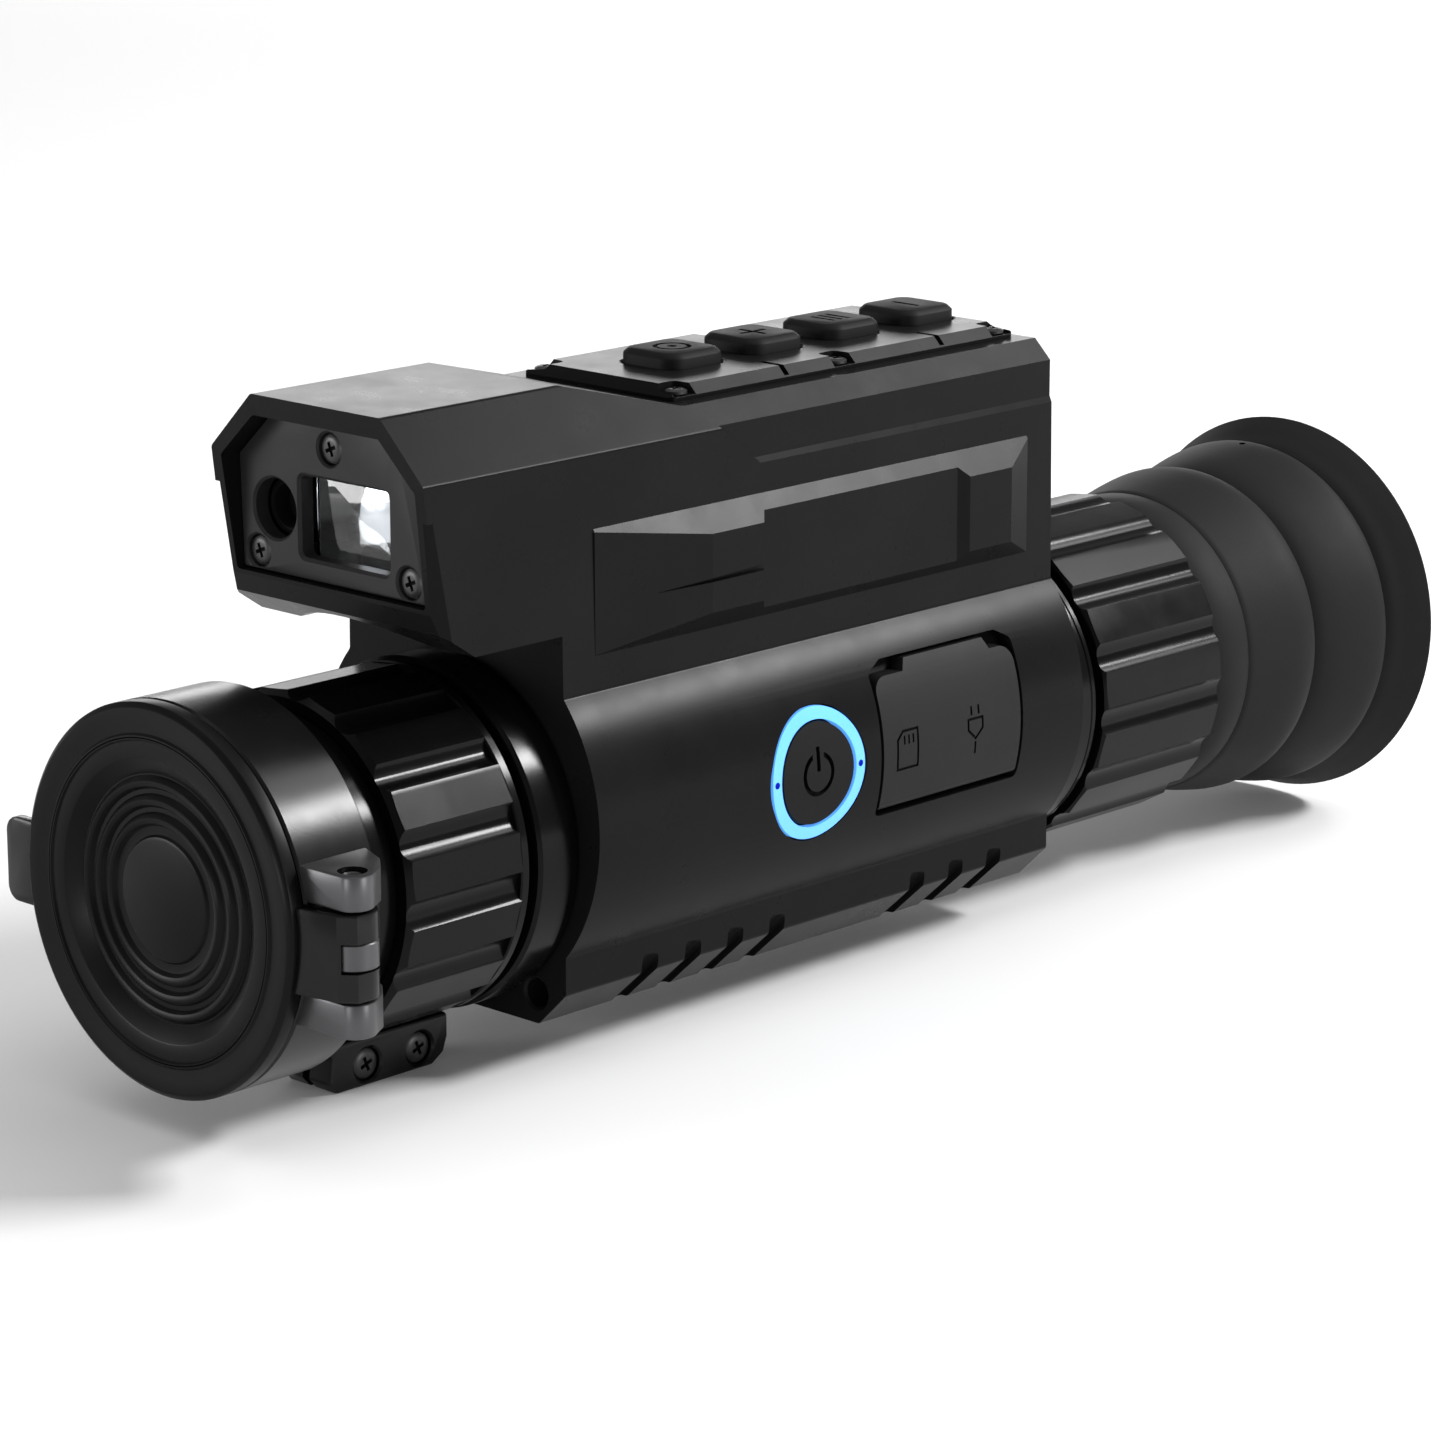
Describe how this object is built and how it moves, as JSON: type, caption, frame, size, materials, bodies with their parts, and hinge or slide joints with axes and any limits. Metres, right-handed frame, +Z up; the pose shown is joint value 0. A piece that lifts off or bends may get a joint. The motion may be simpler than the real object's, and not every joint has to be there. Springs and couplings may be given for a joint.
{
  "type": "thermal imaging scope",
  "caption": "Slim thermal scope with a rangefinder hood on top, keypad deck, flip-up objective cap, fluted focus and diopter rings and a folded rubber eyecup.",
  "frame": {"origin": "centre of the flat underside of the housing's base", "axes": "+Z up; the optical axis runs along Y, the objective looks along -Y and the eyepiece along +Y; the power button and the ports are on the +X side"},
  "size_m": [0.0672, 0.2434, 0.0948],
  "materials": {
    "anodised": "satin black anodised aluminium",
    "cap_metal": "smooth grey-black anodised aluminium",
    "steel": "plain steel",
    "dark_steel": "blackened steel",
    "rubber": "soft matte dark grey rubber",
    "key_rubber": "matte silicone rubber keys",
    "led": "lit blue light guide",
    "glass": "coated optical glass",
    "germanium": "coated germanium lens",
    "black_plastic": "moulded black plastic",
    "board": "green circuit board",
    "cell": "sleeved lithium cell"
  },
  "bodies": {
    "scope_body": {"main_housing": "anodised", "rear_cover": "anodised", "rangefinder_plate": "anodised", "button_panel": "anodised", "objective_barrel": "anodised", "objective_retaining_ring": "anodised", "eyepiece_tube": "anodised", "eyepiece_collar": "anodised", "cap_ring": "cap_metal", "hinge_friction_bush": "cap_metal", "hinge_pin": "steel", "port_cover_pin": "steel", "usb_socket": "steel", "cap_clamp_screw_front": "dark_steel", "cap_clamp_screw_rear": "dark_steel", "plate_screw_top": "dark_steel", "plate_screw_left": "dark_steel", "plate_screw_right": "dark_steel", "panel_screw_left_front": "dark_steel", "panel_screw_left_middle": "dark_steel", "panel_screw_left_rear": "dark_steel", "panel_screw_right_front": "dark_steel", "panel_screw_right_middle": "dark_steel", "panel_screw_right_rear": "dark_steel", "rear_cover_screw_1": "dark_steel", "rear_cover_screw_2": "dark_steel", "rear_cover_screw_3": "dark_steel", "rear_cover_screw_4": "dark_steel", "collar_set_screw": "dark_steel", "shutter_blade": "dark_steel", "laser_emitter": "dark_steel", "eyecup": "rubber", "power_led_ring": "led", "receiver_window": "glass", "receiver_lens": "glass", "objective_lens": "germanium", "card_slot": "black_plastic", "thermal_sensor": "black_plastic", "display_module": "black_plastic", "rangefinder_board": "board", "keypad_board": "board", "port_board": "board", "sensor_board": "board", "main_board": "board", "battery_cell_left": "cell", "battery_cell_right": "cell"},
    "lid": {"cap_lid": "cap_metal"},
    "focus": {"focus_ring": "anodised"},
    "focus_group": {"lens_cell": "anodised", "focus_lens": "germanium"},
    "diopter": {"diopter_ring": "anodised"},
    "eyepiece_group": {"eyepiece_cell": "anodised", "eyepiece_lens_front": "glass", "eyepiece_lens_rear": "glass"},
    "key_range": {"button_range": "key_rubber"},
    "key_plus": {"button_plus": "key_rubber"},
    "key_menu": {"button_menu": "key_rubber"},
    "key_minus": {"button_minus": "key_rubber"},
    "key_power": {"power_button": "key_rubber"},
    "port_door": {"port_cover": "rubber"}
  },
  "joints": [
    {"name": "lid_hinge", "type": "hinge", "parent": "scope_body", "child": "lid", "pos_m": [0.032, -0.0998, 0.0246], "axis": [0, 0, 1], "range_deg": [0, 180]},
    {"name": "focus_turn", "type": "hinge", "parent": "scope_body", "child": "focus", "pos_m": [0, -0.072, 0.026], "axis": [0, 1, 0], "range_deg": [-135, 135]},
    {"name": "focus_travel", "type": "slide", "parent": "scope_body", "child": "focus_group", "axis": [0, 1, 0], "range_m": [-0.0025, 0.0025]},
    {"name": "diopter_turn", "type": "hinge", "parent": "scope_body", "child": "diopter", "pos_m": [0, 0.075, 0.026], "axis": [0, 1, 0], "range_deg": [-120, 120]},
    {"name": "eyepiece_travel", "type": "slide", "parent": "scope_body", "child": "eyepiece_group", "axis": [0, 1, 0], "range_m": [-0.002, 0.002]},
    {"name": "press_range", "type": "slide", "parent": "scope_body", "child": "key_range", "axis": [0, 0, -1], "range_m": [0, 0.001], "stiffness_N_per_m": 1200, "springref_m": -0.0004},
    {"name": "press_plus", "type": "slide", "parent": "scope_body", "child": "key_plus", "axis": [0, 0, -1], "range_m": [0, 0.001], "stiffness_N_per_m": 1200, "springref_m": -0.0004},
    {"name": "press_menu", "type": "slide", "parent": "scope_body", "child": "key_menu", "axis": [0, 0, -1], "range_m": [0, 0.001], "stiffness_N_per_m": 1200, "springref_m": -0.0004},
    {"name": "press_minus", "type": "slide", "parent": "scope_body", "child": "key_minus", "axis": [0, 0, -1], "range_m": [0, 0.001], "stiffness_N_per_m": 1200, "springref_m": -0.0004},
    {"name": "press_power", "type": "slide", "parent": "scope_body", "child": "key_power", "axis": [-1, 0, 0], "range_m": [0, 0.0007], "stiffness_N_per_m": 1500, "springref_m": -0.0004},
    {"name": "port_hinge", "type": "hinge", "parent": "scope_body", "child": "port_door", "pos_m": [0.02635, 0.0217, 0.0222], "axis": [0, 1, 0], "range_deg": [0, 95]}
  ],
  "couplings": [
    {"joint": "focus_travel", "follows": "focus_turn", "m_per_rad": 0.001},
    {"joint": "eyepiece_travel", "follows": "diopter_turn", "m_per_rad": 0.0009}
  ]
}
